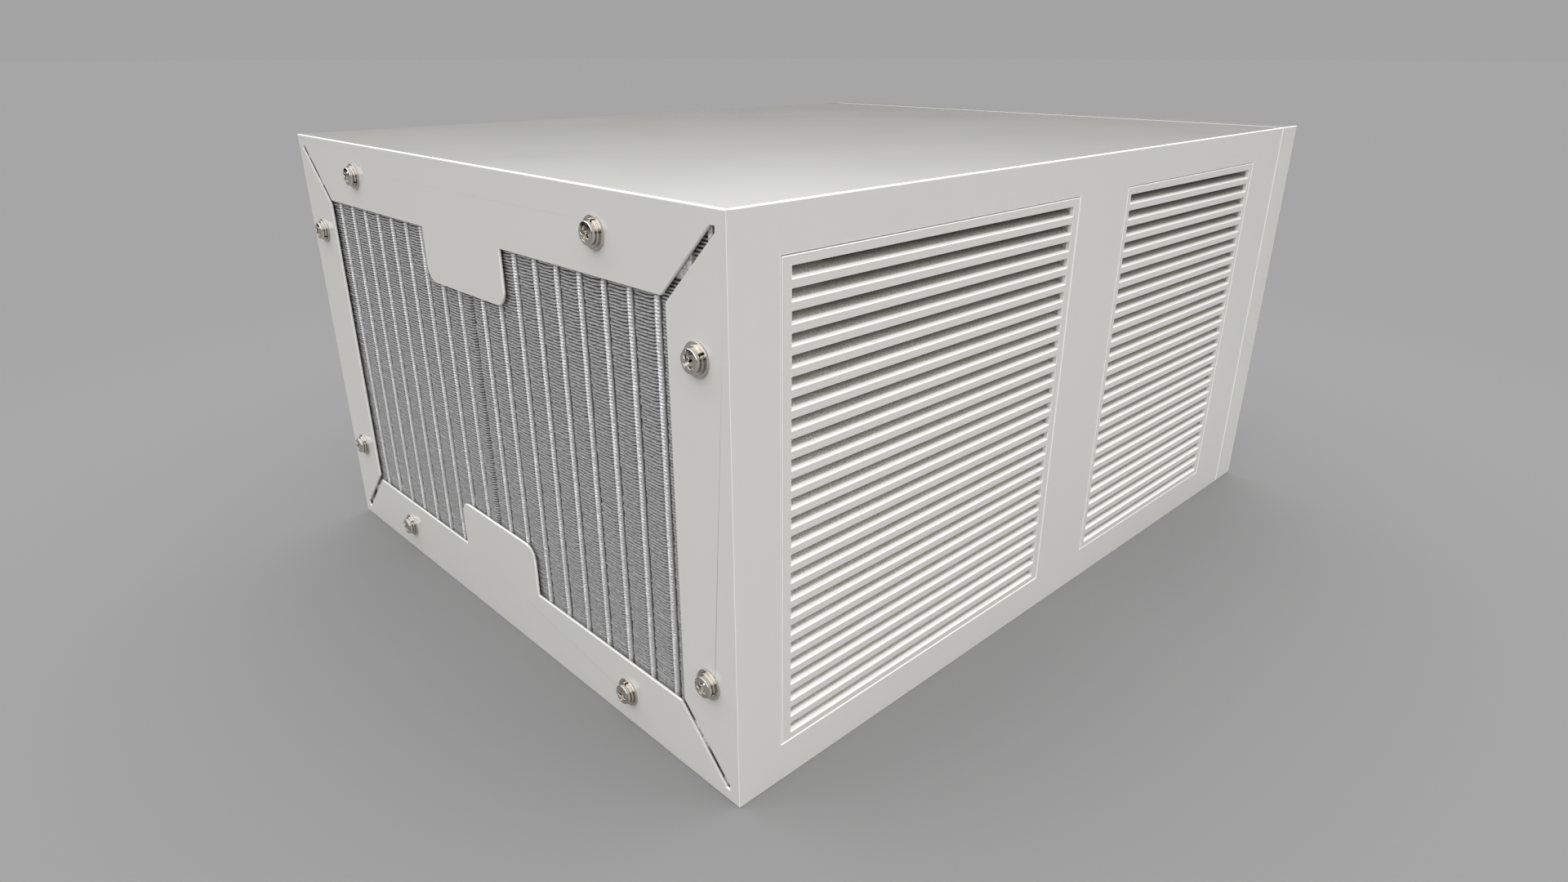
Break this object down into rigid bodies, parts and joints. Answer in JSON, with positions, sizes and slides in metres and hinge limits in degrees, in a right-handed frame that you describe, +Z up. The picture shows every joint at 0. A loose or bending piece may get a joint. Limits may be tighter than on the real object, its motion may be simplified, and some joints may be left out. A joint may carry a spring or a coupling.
{
  "type": "liquid cooling radiator",
  "caption": "Boxed liquid cooling radiator with an open tube and fin front, louvred sides, fans behind the core, and a pump and reservoir behind a divider.",
  "frame": {"origin": "middle of the housing's bottom face, halfway between the front flange and the back of the rear cap", "axes": "+X across the front, +Y from the front flange to the rear cap, +Z up"},
  "size_m": [0.2, 0.2639, 0.128],
  "materials": {
    "housing_paint": "fine satin powder coat, warm light grey",
    "galvanised_sheet": "dull zinc plate",
    "screw_nickel": "worn warm nickel plate",
    "small_steel": "zinc plated",
    "tube_aluminium": "bright brazed aluminium",
    "fin_aluminium": "thin folded aluminium foil",
    "core_aluminium": "matt brazed aluminium",
    "brass": "plain machined brass",
    "black_rubber": "matt black rubber",
    "black_plastic": "moulded glass-filled plastic",
    "switch_plastic": "glossy black plastic",
    "ferrite": "bonded magnet",
    "shaft_steel": "ground steel",
    "copper_coil": "lacquered copper wire on steel",
    "ceramic": "polished ceramic",
    "clear_tank": "frosted clear acrylic",
    "port_nickel": "nickel plated brass",
    "circuit_board": "solder resist",
    "lead_sleeve": "vinyl insulation"
  },
  "bodies": {
    "housing": {"outer_sleeve": "housing_paint", "rear_cap": "housing_paint", "louvre_front_left": "housing_paint", "louvre_front_right": "housing_paint", "louvre_rear_left": "housing_paint", "louvre_rear_right": "housing_paint", "divider_panel": "galvanised_sheet", "divider_grommets": "black_rubber", "rear_brackets": "galvanised_sheet", "front_screws": "screw_nickel", "front_lock_washers": "screw_nickel", "front_washers": "screw_nickel", "rear_screws": "screw_nickel", "core_tubes": "tube_aluminium", "core_fins": "fin_aluminium", "core_plates": "core_aluminium", "core_nut_blocks": "brass", "header_plates": "core_aluminium", "top_tank": "core_aluminium", "bottom_tank": "core_aluminium", "fan_shroud": "black_plastic", "fan_screws": "small_steel", "left_fan_frame": "black_plastic", "left_fan_bearings": "shaft_steel", "left_fan_stator": "copper_coil", "right_fan_frame": "black_plastic", "right_fan_bearings": "shaft_steel", "right_fan_stator": "copper_coil", "pump_pad": "black_rubber", "pump_casing": "black_plastic", "pump_stator": "copper_coil", "pump_shaft": "ceramic", "pump_o_ring": "black_rubber", "pump_volute": "black_plastic", "pump_screws": "small_steel", "reservoir_tank": "clear_tank", "reservoir_base": "black_plastic", "coolant_in_port": "port_nickel", "coolant_out_port": "port_nickel", "port_nuts": "port_nickel", "return_hose": "black_rubber", "radiator_hose": "black_rubber", "supply_hose": "black_rubber", "hose_clamps": "small_steel", "power_socket": "switch_plastic", "switch_case": "switch_plastic", "control_board": "circuit_board", "board_standoffs": "brass", "wiring_loom": "lead_sleeve"},
    "left_fan": {"left_fan_rotor": "black_plastic", "left_fan_magnet": "ferrite", "left_fan_shaft": "shaft_steel"},
    "right_fan": {"right_fan_rotor": "black_plastic", "right_fan_magnet": "ferrite", "right_fan_shaft": "shaft_steel"},
    "impeller": {"pump_impeller": "black_plastic"},
    "rocker": {"switch_rocker": "switch_plastic"},
    "filler_seal": {"filler_o_ring": "black_rubber"},
    "filler_cap": {"filler_cap": "black_plastic"}
  },
  "joints": [
    {"name": "left_fan_spin", "type": "hinge", "parent": "housing", "child": "left_fan", "pos_m": [-0.046, -0.09105, 0.064], "axis": [0, 1, 0], "continuous": true},
    {"name": "right_fan_spin", "type": "hinge", "parent": "housing", "child": "right_fan", "pos_m": [0.046, -0.09105, 0.064], "axis": [0, 1, 0], "continuous": true},
    {"name": "impeller_spin", "type": "hinge", "parent": "housing", "child": "impeller", "pos_m": [0.051, 0.05, 0.044], "axis": [0, 0, 1], "continuous": true},
    {"name": "power_rocker", "type": "hinge", "parent": "housing", "child": "rocker", "pos_m": [-0.065, 0.12475, 0.03], "axis": [1, 0, 0], "range_deg": [0, 24]},
    {"name": "filler_lift", "type": "slide", "parent": "housing", "child": "filler_seal", "axis": [0, 1, 0], "range_m": [0, 0.00901]},
    {"name": "filler_turn", "type": "hinge", "parent": "filler_seal", "child": "filler_cap", "pos_m": [0.051, 0.12775, 0.108], "axis": [0, 1, 0], "range_deg": [0, 2160]}
  ],
  "couplings": [
    {"joint": "filler_lift", "follows": "filler_turn", "m_per_rad": 0.00023873}
  ]
}
